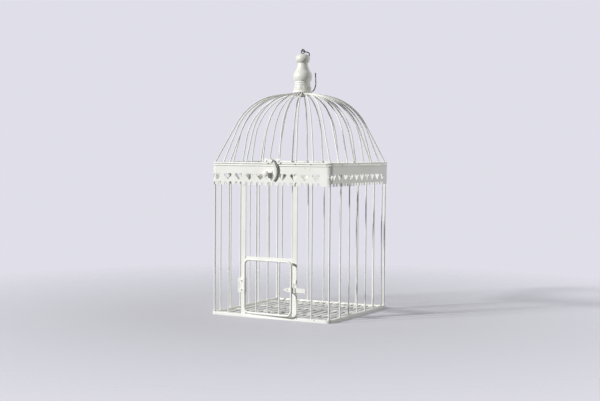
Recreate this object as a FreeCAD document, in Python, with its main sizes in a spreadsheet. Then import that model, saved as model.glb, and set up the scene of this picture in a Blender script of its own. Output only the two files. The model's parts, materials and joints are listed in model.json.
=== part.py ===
import FreeCAD, Part
import math
import os
import re

import Sketcher

# A square wire cage for wedding cards: woven floor, wire walls, a heart lace band, a domed
# lid with a turned finial, a front door with a slide bolt, and a swinging lid hook.
# Millimetres. The origin is the middle of the base's underside, the door faces -Y, +Z is up.

SIZES = {
    "base_width": 180.0,
    "base_corner": 7.0,
    "base_height": 4.0,
    "base_bar": 12.0,
    "base_edge_round": 1.0,
    "rebate_width": 5.0,
    "rebate_depth": 2.0,
    "strip_width": 5.0,
    "strip_thick": 0.7,
    "strip_flat": 6.4,
    "weave_gap": 0.15,
    "floor_clear": 0.3,
    "cross_ratio": 0.311,
    "cross_lean_ratio": 0.045,
    "wire_radius": 0.9,
    "wire_inset": 2.0,
    "corner_wire_radius": 1.2,
    "corner_wire_inset": 3.7,
    "wall_pitch": 26.0,
    "right_shift": 7.3,
    "left_shift": -3.65,
    "back_shift": 3.0,
    "solder_gap": 0.1,
    "rim_radius": 1.3,
    "rim_inset": 1.0,
    "rim_corner": 6.0,
    "body_rim_height": 201.6,
    "lid_gap": 0.4,
    "band_thick": 0.8,
    "band_height": 24.8,
    "heart_spacing": 16.6,
    "heart_shift": 2.2,
    "heart_width": 12.0,
    "heart_height": 9.6,
    "heart_drop": 8.6,
    "notch_width": 4.2,
    "notch_height": 5.0,
    "notch_spread": 7.4,
    "bay_width": 77.4,
    "bay_shift": -1.5,
    "post_width": 6.5,
    "post_thick": 1.5,
    "lintel_base": 75.5,
    "lintel_height": 5.5,
    "strap_thick": 0.8,
    "running_gap": 0.08,
    "moving_gap": 0.3,
    "end_gap": 1.0,
    "door_bar_radius": 1.5,
    "door_width": 73.0,
    "door_base": 6.5,
    "door_top": 77.0,
    "door_corner": 7.0,
    "door_angle": 4.0,
    "door_offset": 3.7,
    "strap_base": 32.0,
    "strap_height": 20.4,
    "strap_reach": 11.4,
    "strap_slot": 1.4,
    "rivet_radius": 1.1,
    "rivet_head": 1.9,
    "rivet_head_thick": 0.9,
    "rivet_inset": 4.1,
    "rivet_spread": 12.2,
    "bolt_length": 31.0,
    "bolt_height": 5.8,
    "bolt_thick": 1.2,
    "bolt_start": 25.0,
    "bolt_base": 37.6,
    "thumb_hole": 1.1,
    "keeper_width": 2.5,
    "keeper_foot": 4.5,
    "keeper_rise": 10.6,
    "hinge_spread": 50.0,
    "leaf_width": 12.0,
    "leaf_height": 11.0,
    "leaf_skirt": 3.0,
    "knuckle_length": 5.0,
    "knuckle_wall": 1.25,
    "pin_radius": 0.9,
    "hinge_offset": 3.7,
    "dome_pitch": 25.1,
    "foot_inset": 1.65,
    "foot_rise": 1.0,
    "shoulder_inset": 14.2,
    "shoulder_drop": 7.4,
    "shoulder_ratio": 1.26,
    "hub_radius": 12.0,
    "hub_height": 4.0,
    "dome_rise": 93.8,
    "cap_radius": 13.5,
    "cap_thick": 2.0,
    "finial_radius": 13.4,
    "finial_height": 50.6,
    "screw_radius": 2.0,
    "screw_head_thick": 2.0,
    "screw_reach": 14.0,
    "eye_radius": 2.6,
    "eye_wire": 0.75,
    "eye_depth": 8.0,
    "hook_wire": 0.8,
    "hook_loop": 2.0,
    "hook_reach": 27.5,
    "hook_sag": 1.0,
    "hook_drop": 54.0,
    "hook_waist": 12.2,
    "hook_waist_drop": 15.4,
    "hook_heel": 17.2,
    "hook_throat": 24.0,
    "hook_tip_rise": 26.0,
    "hook_tip_lean": 2.5,
    "hook_bend": 3.5,
    "waist_bend": 8.0,
    "heel_bend": 8.5,
    "throat_bend": 13.0,
    "latch_shift": 5.7,
    "latch_rise": 3.0,
    "latch_lobe": 3.9,
    "latch_left": 10.5,
    "latch_right": 7.6,
    "latch_thick": 0.9,
    "latch_pin": 1.2,
    "latch_pin_head": 1.0,
    "claw_boss": 2.5,
    "claw_outer": 19.4,
    "claw_inner": 21.4,
    "claw_height": 30.6,
    "claw_lean": 3.8,
    "claw_tip": 1.9,
    "claw_rise": 4.0,
    "claw_back_reach": 2.9,
    "claw_depth": 4.2,
    "claw_ease": 0.5,
    "knob_left": 8.6,
    "knob_drop": 16.6,
    "knob_stem": 2.0,
    "knob_head": 4.0,
    "knob_head_thick": 1.4,
    "knob_plate": 13.0,
    "knob_plate_height": 9.5,
}

# Lengths that follow from the sizes above. A word here may use words of both lists.
DERIVED = {
    "base_half": "base_width / 2",
    "bar_inner": "base_half - base_bar",
    "ledge_height": "base_height - rebate_depth",
    "long_pitch": "2 * (bar_inner - floor_clear) / 14",
    "cross_pitch": "2 * bar_inner * cross_ratio",
    "cross_shift": "2 * bar_inner * cross_lean_ratio",
    "weave_step": "strip_thick + weave_gap",
    "wall_line": "base_half - wire_inset",
    "corner_line": "base_half - corner_wire_inset",
    "rim_half": "base_half - rim_inset",
    "rim_bend": "rim_half - rim_corner",
    "lid_rim_height": "body_rim_height + 2 * rim_radius + lid_gap",
    "band_inner": "wall_line + wire_radius + solder_gap",
    "band_outer": "band_inner + band_thick",
    "band_top": "body_rim_height - rim_radius - solder_gap",
    "band_base": "band_top - band_height",
    "wire_top": "band_top",
    "post_front": "wall_line + post_thick / 2",
    "post_left": "bay_shift - bay_width / 2",
    "post_right": "bay_shift + bay_width / 2",
    "lintel_top": "lintel_base + lintel_height",
    "knuckle_bore": "door_bar_radius + running_gap",
    "door_axis_x": "post_left + door_offset",
    "door_axis_y": "post_front + strap_thick + knuckle_bore",
    "rivet_x": "door_axis_x - rivet_inset",
    "rivet_low": "strap_base + (strap_height - rivet_spread) / 2",
    "bolt_back": "door_axis_y + door_bar_radius + moving_gap",
    "bolt_front": "bolt_back + bolt_thick",
    "keeper_inner": "bolt_front + moving_gap",
    "keeper_base": "bolt_base - moving_gap",
    "keeper_top": "keeper_base + keeper_rise",
    "hinge_y": "rim_half + hinge_offset",
    "hinge_z": "(body_rim_height + lid_rim_height) / 2",
    "barrel_bore": "pin_radius + running_gap",
    "barrel_radius": "barrel_bore + knuckle_wall",
    "leaf_inner": "rim_half + rim_radius + solder_gap / 2",
    "foot_line": "rim_half - foot_inset",
    "foot_height": "lid_rim_height + foot_rise",
    "crown_height": "foot_height + dome_rise",
    "shoulder_height": "crown_height - shoulder_drop",
    "shoulder_reach": "foot_line - shoulder_inset",
    "shoulder_radius": "(shoulder_reach - hub_radius) * shoulder_ratio",
    "corner_reach": "rim_bend * sqrt(2) + rim_corner - foot_inset",
    "hub_top": "crown_height + wire_radius + 3 * solder_gap",
    "hub_base": "hub_top - hub_height",
    "cap_top": "hub_top + cap_thick",
    "finial_top": "cap_top + finial_height",
    "eye_height": "finial_top + eye_radius + eye_wire + 2 * solder_gap",
    "loop_height": "eye_height + eye_radius",
    "hook_low": "loop_height - hook_loop - hook_drop",
    "latch_height": "lid_rim_height + latch_rise",
    "latch_back": "rim_half + rim_radius + solder_gap",
    "latch_front": "latch_back + latch_thick",
    "claw_back": "latch_front + moving_gap",
    "claw_front": "claw_back + claw_depth",
    "claw_top_x": "latch_shift - claw_back_reach",
    "claw_top_z": "latch_height + claw_rise",
    "claw_low_x": "claw_top_x + claw_lean",
    "claw_low_z": "claw_top_z - claw_height",
    "knob_x": "latch_shift - knob_left",
    "knob_z": "latch_height - knob_drop",
}

TURN_X = FreeCAD.Rotation(FreeCAD.Vector(1, 0, 0), 90)
AXIS_X = FreeCAD.Vector(1, 0, 0)
AXIS_Y = FreeCAD.Vector(0, 1, 0)
AXIS_Z = FreeCAD.Vector(0, 0, 1)

doc = FreeCAD.newDocument("card_cage")
sheet = doc.addObject("Spreadsheet::Sheet", "sizes")
for row, (word, value) in enumerate(SIZES.items(), start=1):
    sheet.set("A%d" % row, word)
    sheet.set("B%d" % row, str(value))
    sheet.setAlias("B%d" % row, word)
sums = doc.addObject("Spreadsheet::Sheet", "sums")
doc.recompute()

nodes = []


def spell(text):
    """Write a formula out in the words of the sheet."""

    def word_of(match):
        word = match.group()
        if word in DERIVED:
            return "(" + spell(DERIVED[word]) + ")"
        return "sizes." + word if word in SIZES else word

    return re.sub(r"[a-z][a-z_]*", word_of, text)


def number(text):
    """Give the present value of a formula, worked out in a sheet kept for sums."""
    sums.set("A1", "=" + spell(text))
    sums.recompute()
    return float(sums.get("A1"))


def bind(thing, **formulas):
    """Tie properties to formulas. A double underline in a name stands for a dot."""
    for name, text in formulas.items():
        thing.setExpression(name.replace("__", "."), spell(text))
    return thing


def put(thing, x="0", y="0", z="0"):
    """Tie a thing's position to three formulas."""
    return bind(thing, Placement__Base__x=x, Placement__Base__y=y, Placement__Base__z=z)


def node(thing, label):
    """Name a finished sub-part and list it for export."""
    thing.Label = label
    nodes.append(thing)
    return thing


def rule(sketch, text, kind, *places):
    """Add a sketch dimension tied to a formula."""
    index = sketch.addConstraint(Sketcher.Constraint(kind, *places, number(text)))
    name = "size%d" % index
    sketch.renameConstraint(index, name)
    sketch.setExpression("Constraints." + name, spell(text))


def fix_point(sketch, piece, end, x, y):
    """Hold one point of a sketch at two formulas."""
    rule(sketch, x, "DistanceX", -1, 1, piece, end)
    rule(sketch, y, "DistanceY", -1, 1, piece, end)


def bow(here, there, radius, turn):
    """Make the arc from one point to another, turning left for 1 and right for -1."""
    chord = there - here
    middle = (here + there) * 0.5
    height = math.sqrt(max(radius ** 2 - (chord.Length / 2) ** 2, 0))
    left = FreeCAD.Vector(-chord.y, chord.x, 0) / chord.Length
    centre = middle + left * (height * turn)
    first, last = (here, there) if turn > 0 else (there, here)
    start = math.atan2(first.y - centre.y, first.x - centre.x)
    stop = math.atan2(last.y - centre.y, last.x - centre.x)
    return Part.ArcOfCircle(Part.Circle(centre, AXIS_Z, radius), start, stop)


def outline(sketch, corners):
    """Draw a closed run of lines and arcs.

    A corner is (x, y), or (x, y, radius, turn) where an arc leads on to the next corner.
    """
    points = [FreeCAD.Vector(number(c[0]), number(c[1]), 0) for c in corners]
    base = sketch.GeometryCount
    count = len(corners)
    ends = []
    for i, corner in enumerate(corners):
        here = points[i]
        there = points[(i + 1) % count]
        if len(corner) == 2:
            sketch.addGeometry(Part.LineSegment(here, there), False)
            ends.append((1, 2))
        else:
            arc = bow(here, there, number(corner[2]), corner[3])
            sketch.addGeometry(arc, False)
            ends.append((1, 2) if corner[3] > 0 else (2, 1))
    for i, corner in enumerate(corners):
        after = (i + 1) % count
        join = Sketcher.Constraint("Coincident", base + i, ends[i][1], base + after, ends[after][0])
        sketch.addConstraint(join)
    for i, corner in enumerate(corners):
        fix_point(sketch, base + i, ends[i][0], corner[0], corner[1])
        if len(corner) == 4:
            rule(sketch, corner[2], "Radius", base + i)


def circle(sketch, x, y, radius):
    """Draw a circle held at a point."""
    spot = FreeCAD.Vector(number(x), number(y), 0)
    piece = sketch.addGeometry(Part.Circle(spot, AXIS_Z, number(radius)), False)
    fix_point(sketch, piece, 3, x, y)
    rule(sketch, radius, "Radius", piece)


def rounded(sketch, corners, radii, closed):
    """Draw a run of lines with a rounded bend at each corner, all bends tangent.

    Corners are pairs of formulas. An open run bends at each corner but the two ends.
    """
    points = [FreeCAD.Vector(number(x), number(y), 0) for x, y in corners]
    count = len(points)
    bends = range(count) if closed else range(1, count - 1)
    before = {}
    after = {}
    turns = {}
    for i in bends:
        back = (points[i - 1] - points[i]).normalize()
        on = (points[(i + 1) % count] - points[i]).normalize()
        reach = number(radii[i]) / math.tan(back.getAngle(on) / 2)
        before[i] = points[i] + back * reach
        after[i] = points[i] + on * reach
        turns[i] = 1 if on.cross(back).z > 0 else -1
    runs = range(count) if closed else range(count - 1)
    line_of = {}
    for i in runs:
        there = (i + 1) % count
        segment = Part.LineSegment(after.get(i, points[i]), before.get(there, points[there]))
        line_of[i] = sketch.addGeometry(segment, False)
        if there in before:
            arc = bow(before[there], after[there], number(radii[there]), turns[there])
            turns[there] = (sketch.addGeometry(arc, False), turns[there])
    for i in bends:
        arc, turn = turns[i]
        first, last = (1, 2) if turn > 0 else (2, 1)
        came = line_of[i - 1 if i else count - 1]
        corner = sketch.addGeometry(Part.Point(points[i]), True)
        sketch.addConstraint(Sketcher.Constraint("Tangent", came, 2, arc, first))
        sketch.addConstraint(Sketcher.Constraint("Tangent", arc, last, line_of[i], 1))
        fix_point(sketch, corner, 1, *corners[i])
        sketch.addConstraint(Sketcher.Constraint("PointOnObject", corner, 1, came))
        sketch.addConstraint(Sketcher.Constraint("PointOnObject", corner, 1, line_of[i]))
        rule(sketch, radii[i], "Radius", arc)
    if not closed:
        fix_point(sketch, line_of[0], 1, *corners[0])
        fix_point(sketch, line_of[count - 2], 2, *corners[-1])


def square(half):
    """List the corners of a centred square."""
    return [("-" + half, "-" + half), (half, "-" + half), (half, half), ("-" + half, half)]


def free_sketch(name, upright=False):
    """Start a path sketch, lying flat or standing in the XZ plane."""
    sketch = doc.addObject("Sketcher::SketchObject", name)
    if upright:
        sketch.Placement = FreeCAD.Placement(FreeCAD.Vector(), TURN_X)
    return sketch


def rod(name, sketch, radius):
    """Sweep a round bar along a path sketch."""
    section = doc.addObject("Part::Circle", name + "_section")
    bind(section, Radius=radius)
    section.AttachmentSupport = [(sketch, "Edge1")]
    section.MapMode = "NormalToEdge"
    section.MapPathParameter = 0.0
    doc.recompute()
    sweep = doc.addObject("Part::Sweep", name)
    sweep.Sections = [section]
    sweep.Spine = (sketch, ["Edge%d" % (i + 1) for i in range(len(sketch.Shape.Edges))])
    sweep.Solid = True
    sweep.Frenet = False
    return sweep


def group(name, parts):
    """Hold several solids as one object."""
    holder = doc.addObject("Part::Compound", name)
    holder.Links = parts
    return holder


def fuse(name, parts):
    """Join overlapping solids into one."""
    joined = doc.addObject("Part::MultiFuse", name)
    joined.Shapes = parts
    joined.Refine = True
    return joined


def cut(name, base, tools):
    """Take solids out of a solid."""
    taken = doc.addObject("Part::Cut", name)
    taken.Base = base
    taken.Tool = tools[0] if len(tools) == 1 else fuse(name + "_tools", tools)
    taken.Refine = True
    return taken


def box(name, x, y, z, length, width, height):
    """Make a box from its low corner and three lengths."""
    block = doc.addObject("Part::Box", name)
    bind(block, Length=length, Width=width, Height=height)
    return put(block, x, y, z)


def cylinder(name, radius, length, x, y, z, axis=AXIS_Z):
    """Make a round bar from the middle of its first end, along an axis."""
    bar = doc.addObject("Part::Cylinder", name)
    bar.Placement = FreeCAD.Placement(FreeCAD.Vector(), FreeCAD.Rotation(AXIS_Z, axis))
    bind(bar, Radius=radius, Height=length)
    return put(bar, x, y, z)


def mirrored(name, source, normal):
    """Add a solid's mirror image about a plane through the axis."""
    image = doc.addObject("Part::Mirroring", name)
    image.Source = source
    image.Normal = normal
    return group(name + "_pair", [source, image])


def new_body(name):
    """Start a feature body."""
    return doc.addObject("PartDesign::Body", name)


def draw(body, name, role, offset="0"):
    """Start a sketch on one of the body's own planes, moved along its normal."""
    sketch = body.newObject("Sketcher::SketchObject", name)
    plane = [item for item in body.Origin.OriginFeatures if item.Role == role][0]
    sketch.AttachmentSupport = [(plane, "")]
    sketch.MapMode = "FlatFace"
    return bind(sketch, AttachmentOffset__Base__z=offset)


def pad(body, sketch, length):
    """Raise a sketch along its normal."""
    feature = body.newObject("PartDesign::Pad", sketch.Name + "_pad")
    feature.Profile = sketch
    bind(feature, Length=length)
    doc.recompute()
    return feature


def pocket(body, sketch, length, reverse=False):
    """Cut a sketch into the body, against its normal unless reversed."""
    feature = body.newObject("PartDesign::Pocket", sketch.Name + "_pocket")
    feature.Profile = sketch
    feature.Reversed = reverse
    bind(feature, Length=length)
    doc.recompute()
    return feature


def repeat(body, feature, sketch, length, count):
    """Repeat a feature in a row along its sketch's level axis."""
    row = body.newObject("PartDesign::LinearPattern", feature.Name + "_row")
    row.Originals = [feature]
    row.Direction = (sketch, ["H_Axis"])
    bind(row, Length=length)
    row.Occurrences = count
    body.Tip = row
    doc.recompute()
    return row


def build_base():
    """Build the square base frame with a rebate for the floor."""
    body = new_body("base_frame")
    plan = draw(body, "base_plan", "XY_Plane")
    rounded(plan, square("base_half"), ["base_corner"] * 4, True)
    rounded(plan, square("bar_inner"), ["base_edge_round"] * 4, True)
    frame = pad(body, plan, "base_height")
    top = number("base_height - solder_gap")
    reach = number("base_half - base_corner")
    rim_edges = []
    for i, edge in enumerate(frame.Shape.Edges, start=1):
        level = edge.BoundBox.ZMin > top
        spot = edge.CenterOfMass
        if level and max(abs(spot.x), abs(spot.y)) > reach:
            rim_edges.append("Edge%d" % i)
    ease = body.newObject("PartDesign::Fillet", "base_ease")
    ease.Base = (frame, rim_edges)
    bind(ease, Radius="base_edge_round")
    doc.recompute()
    rebate = draw(body, "base_rebate", "XY_Plane", "base_height")
    rounded(rebate, square("(bar_inner + rebate_width)"), ["base_edge_round"] * 4, True)
    pocket(body, rebate, "rebate_depth")
    node(body, "base_frame")


def build_floor():
    """Weave the floor: straight strips front to back, crimped strips across."""
    strips = []
    for i in range(14):
        strips.append(box(
            "long_strip_%d" % i,
            "long_pitch * %s - strip_width / 2" % (i - 6.5),
            "-(bar_inner + rebate_width - floor_clear)",
            "ledge_height",
            "strip_width",
            "2 * (bar_inner + rebate_width - floor_clear)",
            "strip_thick",
        ))
    node(group("floor_long_strips", strips), "floor_long_strips")
    for place, label in ((-1, "front"), (0, "middle"), (1, "back")):
        build_cross_strip("floor_cross_strip_" + label, place, 1 if place else -1)


def build_cross_strip(label, place, over):
    """Crimp one cross strip over and under the long strips."""
    body = new_body(label)
    side = draw(body, label + "_side", "XZ_Plane", "-strip_width / 2")
    left = "-7 * long_pitch"
    low = "ledge_height"
    high = "ledge_height + strip_thick"
    rise = "%d * weave_step" % over
    first = "strip_flat / 2"
    pairs = [
        (left, rise),
        (left + " + long_pitch / 2 + " + first, rise),
        (left + " + 3 * long_pitch / 2 - " + first, "-(%s)" % rise),
        (left + " + 3 * long_pitch / 2 + " + first, "-(%s)" % rise),
        (left + " + 5 * long_pitch / 2 - " + first, rise),
    ]
    corners = [(x, low + " + " + z) for x, z in pairs]
    corners += [(x, high + " + " + z) for x, z in reversed(pairs)]
    outline(side, corners)
    crimp = pad(body, side, "strip_width")
    repeat(body, crimp, side, "12 * long_pitch", 7)
    end = draw(body, label + "_end", "XZ_Plane", "-strip_width")
    outline(end, [
        ("7 * long_pitch", low + " - strip_width"),
        ("9 * long_pitch", low + " - strip_width"),
        ("9 * long_pitch", high + " + strip_width"),
        ("7 * long_pitch", high + " + strip_width"),
    ])
    pocket(body, end, "2 * strip_width", True)
    put(body, y="cross_shift + %d * cross_pitch" % place)
    node(body, label)


def upright(name, x, y, radius="wire_radius", base="base_height", top="wire_top"):
    """Stand one straight wire."""
    return cylinder(name, radius, "%s - (%s)" % (top, base), x, y, base)


def build_walls():
    """Stand the wall wires, the corner wires and the rim that ties their tops."""
    corners = []
    for i, (x, y) in enumerate(square("corner_line")):
        corners.append(upright("corner_wire_%d" % i, x, y, "corner_wire_radius"))
    node(group("corner_wires", corners), "corner_wires")
    walls = {"right": [], "left": [], "back": []}
    for i in range(6):
        step = "wall_pitch * %s + " % (i - 2.5)
        walls["right"].append(upright("right_wire_%d" % i, "wall_line", step + "right_shift"))
        walls["left"].append(upright("left_wire_%d" % i, "-wall_line", step + "left_shift"))
        walls["back"].append(upright("back_wire_%d" % i, step + "back_shift", "wall_line"))
    for side, wires in walls.items():
        node(group("wall_wires_" + side, wires), "wall_wires_" + side)
    front = [
        upright("front_wire_left", "(post_left - corner_line) / 2", "-wall_line"),
        upright("front_wire_right", "(post_right + corner_line) / 2", "-wall_line"),
    ]
    for i in (1, 2, 3):
        x = "post_left + bay_width * %d / 4" % i
        front.append(upright("transom_wire_%d" % i, x, "-wall_line", base="lintel_top"))
    node(group("wall_wires_front", front), "wall_wires_front")
    build_rim("body_rim", "body_rim_height")


def build_rim(label, height):
    """Bend one round rim bar into a square with rounded corners."""
    path = free_sketch(label + "_path")
    rounded(path, square("rim_half"), ["rim_corner"] * 4, True)
    put(path, z=height)
    doc.recompute()
    node(rod(label, path, "rim_radius"), label)


def lace(sketch, x, width, lobe):
    """Draw a heart and the two arched notches below it."""
    half = "(%s) / 2" % width
    tip = "band_top - heart_drop - heart_height"
    brow = "band_top - heart_drop - heart_width / 4"
    outline(sketch, [
        (x, tip),
        ("%s + %s" % (x, half), brow, lobe, 1),
        (x, brow, lobe, 1),
        ("%s - %s" % (x, half), brow),
    ])
    for side in ("-", "+"):
        middle = "%s %s (%s) * notch_spread / heart_width / 2" % (x, side, width)
        arch = "(%s) * notch_width / heart_width / 2" % width
        spring = "band_base + notch_height - notch_width / 2"
        outline(sketch, [
            ("%s - %s" % (middle, arch), "band_base - end_gap"),
            ("%s + %s" % (middle, arch), "band_base - end_gap"),
            ("%s + %s" % (middle, arch), spring, "(%s) * 1.05" % arch, 1),
            ("%s - %s" % (middle, arch), spring),
        ])


def build_band(label, angle):
    """Cut one lace strip: a flat side with ten hearts and one bent corner with another."""
    body = new_body(label)
    plan = draw(body, label + "_plan", "XY_Plane", "band_base")
    bend = "(band_inner - rim_corner)"
    outline(plan, [
        ("solder_gap - " + bend, "-band_outer"),
        (bend, "-band_outer", "rim_corner + band_thick", 1),
        ("band_outer", "-" + bend),
        ("band_inner", "-" + bend, "rim_corner", -1),
        (bend, "-band_inner"),
        ("solder_gap - " + bend, "-band_inner"),
    ])
    pad(body, plan, "band_height")
    side = draw(body, label + "_lace", "XZ_Plane", "band_outer + band_thick")
    lace(side, "heart_shift - 5 * heart_spacing", "heart_width", "heart_width * 0.26")
    first = pocket(body, side, "4 * band_thick")
    repeat(body, first, side, "9 * heart_spacing", 10)
    turned = draw(body, label + "_corner_lace", "XZ_Plane", bend)
    turned.AttachmentOffset = FreeCAD.Placement(
        FreeCAD.Vector(), FreeCAD.Rotation(AXIS_Y, 45))
    bind(turned, AttachmentOffset__Base__x=bend, AttachmentOffset__Base__z=bend)
    lace(turned, "0", "rim_corner * 1.3", "rim_corner * 0.36")
    pocket(body, turned, "2 * rim_corner", True)
    body.Placement = FreeCAD.Placement(FreeCAD.Vector(), FreeCAD.Rotation(AXIS_Z, angle))
    node(body, label)


def build_doorway():
    """Stand the two flat door posts and the lintel between them."""
    holes = []
    for i in range(2):
        z = "rivet_low + %d * rivet_spread" % i
        hole = cylinder("post_hole_%d" % i, "rivet_radius + running_gap", "4 * post_thick",
                        "rivet_x", "-(wall_line + 2 * post_thick)", z, AXIS_Y)
        holes.append(hole)
    for side in ("left", "right"):
        middle = "post_" + side
        post = box("post_blank_" + side, middle + " - post_width / 2", "-post_front",
                   "base_height", "post_width", "post_thick", "wire_top - base_height")
        if side == "left":
            post = cut("drilled_post", post, holes)
        node(post, "door_post_" + side)
    lintel = box("lintel", "post_left + post_width / 2", "-post_front", "lintel_base",
                 "bay_width - post_width", "post_thick", "lintel_height")
    node(lintel, "door_lintel")


def build_door():
    """Bend the door's round frame and fill it with wires, standing ajar on its hinge."""
    path = free_sketch("door_path", upright=True)
    corners = [("0", "door_base"), ("door_width", "door_base"),
               ("door_width", "door_top"), ("0", "door_top")]
    rounded(path, corners, ["door_corner"] * 4, True)
    doc.recompute()
    frame = group("door_frame", [rod("door_bar", path, "door_bar_radius")])
    bars = []
    for i in (1, 2, 3):
        bars.append(upright(
            "door_wire_%d" % i, "door_width * %d / 4" % i, "0",
            base="door_base + door_bar_radius + solder_gap",
            top="door_top - door_bar_radius - solder_gap"))
    grille = group("door_wires", bars)
    for piece in (frame, grille):
        piece.Placement = FreeCAD.Placement(FreeCAD.Vector(), FreeCAD.Rotation(AXIS_Z, -1))
        put(piece, "door_axis_x", "-door_axis_y")
        bind(piece, Placement__Rotation__Angle="-door_angle")
        piece.recompute()
    node(frame, "door_frame")
    node(grille, "door_wires")


def build_door_hinge():
    """Wrap the hinge strap round the door's stile and rivet it to the left post."""
    outer = "knuckle_bore + strap_thick"
    leaf = box("strap_leaf", "door_axis_x - strap_reach", "-(post_front + strap_thick)",
               "strap_base", "strap_reach", "strap_thick", "strap_height")
    knuckle = cylinder("strap_knuckle", outer, "strap_height",
                       "door_axis_x", "-door_axis_y", "strap_base")
    bore = cylinder("strap_bore", "knuckle_bore", "strap_height + 2 * end_gap",
                    "door_axis_x", "-door_axis_y", "strap_base - end_gap")
    slot = box("leaf_slot", "door_axis_x - strap_reach + strap_slot",
               "-(post_front + 2 * strap_thick)", "strap_base + strap_height * 0.3",
               "strap_slot", "4 * strap_thick", "strap_height * 0.4")
    holes = []
    rivets = []
    for i in range(2):
        z = "rivet_low + %d * rivet_spread" % i
        front = "-(post_front + strap_thick)"
        holes.append(cylinder("leaf_hole_%d" % i, "rivet_radius + running_gap",
                              "4 * strap_thick", "rivet_x", "-(post_front + 2 * strap_thick)",
                              z, AXIS_Y))
        shank = cylinder("rivet_shank_%d" % i, "rivet_radius",
                         "post_thick + strap_thick", "rivet_x", front, z, AXIS_Y)
        head = cylinder("rivet_top_%d" % i, "rivet_head", "rivet_head_thick", "rivet_x",
                        front + " - rivet_head_thick", z, AXIS_Y)
        tail = cylinder("rivet_tail_%d" % i, "rivet_head", "rivet_head_thick", "rivet_x",
                        front + " + post_thick + strap_thick", z, AXIS_Y)
        rivets.append(fuse("rivet_%d" % i, [shank, head, tail]))
    strap = cut("door_hinge_strap", fuse("strap_blank", [leaf, knuckle]), [bore, slot] + holes)
    node(strap, "door_hinge_strap")
    node(group("door_hinge_rivets", rivets), "door_hinge_rivets")


def build_bolt():
    """Cut the slide bolt, and bend the keeper that carries it on the right post."""
    bolt = new_body("door_bolt")
    face = draw(bolt, "bolt_face", "XZ_Plane", "bolt_back")
    end = "bolt_start + bolt_length"
    top = "bolt_base + bolt_height"
    outline(face, [
        ("bolt_start", "bolt_base + bolt_height * 0.25"),
        ("bolt_start + bolt_height", "bolt_base"),
        (end, "bolt_base"),
        (end, top),
        ("bolt_start + bolt_height", top),
        ("bolt_start", "bolt_base + bolt_height * 0.75", "bolt_height * 0.26", 1),
    ])
    circle(face, "bolt_start + bolt_height * 0.86", "bolt_base + bolt_height / 2", "thumb_hole")
    pad(bolt, face, "bolt_thick")
    node(bolt, "door_bolt")

    keeper = new_body("bolt_keeper")
    middle = "(post_right + 2 * keeper_width / 2)"
    side = draw(keeper, "keeper_side", "YZ_Plane", middle + " - keeper_width / 2")
    seat = "-post_front"
    lifted = "-(post_front + strap_thick)"
    inner = "-keeper_inner"
    outer = "-(keeper_inner + strap_thick)"
    outline(side, [
        (seat, "keeper_base - 2 * keeper_foot"),
        (seat, "keeper_base - keeper_foot"),
        (inner, "keeper_base"),
        (inner, "keeper_top"),
        (seat, "keeper_top"),
        (seat, "keeper_top + strap_thick + keeper_foot"),
        (lifted, "keeper_top + strap_thick + keeper_foot"),
        (lifted, "keeper_top + strap_thick"),
        (outer, "keeper_top + strap_thick"),
        (outer, "keeper_base - strap_thick / 2"),
        (lifted, "keeper_base - keeper_foot - strap_thick"),
        (lifted, "keeper_base - 2 * keeper_foot"),
    ])
    pad(keeper, side, "keeper_width")
    node(keeper, "bolt_keeper")


def build_lid_hinges():
    """Roll two butt hinges behind the rims: lower leaves, upper leaves and pins."""
    lower = []
    upper = []
    pins = []
    joint = "knuckle_length + 2 * moving_gap"
    for name, x in (("left", "-hinge_spread"), ("right", "hinge_spread")):
        west = "%s - leaf_width / 2" % x
        plate = box("low_plate_" + name, west, "leaf_inner", "hinge_z - leaf_height - leaf_skirt",
                    "leaf_width", "strap_thick", "leaf_height + leaf_skirt")
        barrel = cylinder("low_barrel_" + name, "barrel_radius", "leaf_width", west,
                          "hinge_y", "hinge_z", AXIS_X)
        gap = box("low_gap_" + name, "%s - (%s) / 2" % (x, joint), "leaf_inner - end_gap",
                  "hinge_z - barrel_radius - moving_gap", joint,
                  "2 * (hinge_offset + barrel_radius)", "4 * barrel_radius")
        bore = cylinder("low_bore_" + name, "barrel_bore", "leaf_width + 2 * end_gap", west + " - end_gap",
                        "hinge_y", "hinge_z", AXIS_X)
        blank = fuse("low_blank_" + name, [plate, barrel])
        lower.append(cut("low_leaf_" + name, blank, [gap, bore]))
        tongue = "%s - knuckle_length / 2" % x
        stem = box("high_stem_" + name, tongue, "leaf_inner", "hinge_z",
                   "knuckle_length", "strap_thick", "lid_rim_height + rim_radius - hinge_z")
        curl = cylinder("high_barrel_" + name, "barrel_radius", "knuckle_length", tongue,
                        "hinge_y", "hinge_z", AXIS_X)
        drill = cylinder("high_bore_" + name, "barrel_bore", "leaf_width + 2 * end_gap", west + " - end_gap",
                         "hinge_y", "hinge_z", AXIS_X)
        upper.append(cut("high_leaf_" + name, fuse("high_blank_" + name, [stem, curl]), [drill]))
        pins.append(cylinder("hinge_pin_" + name, "pin_radius", "leaf_width + end_gap",
                             west + " - end_gap / 2", "hinge_y", "hinge_z", AXIS_X))
    node(group("lid_hinge_lower_leaves", lower), "lid_hinge_lower_leaves")
    node(group("lid_hinge_upper_leaves", upper), "lid_hinge_upper_leaves")
    node(group("lid_hinge_pins", pins), "lid_hinge_pins")


def dome_wire(name, reach):
    """Bend one dome wire: a leaning leg, a broad shoulder and a flat run to the hub."""
    path = free_sketch(name + "_path", upright=True)
    corners = [
        (reach, "foot_height"),
        ("shoulder_reach", "shoulder_height"),
        ("hub_radius + 2 * solder_gap", "crown_height"),
    ]
    rounded(path, corners, ["0", "shoulder_radius", "0"], False)
    doc.recompute()
    return rod(name, path, "wire_radius")


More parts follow.
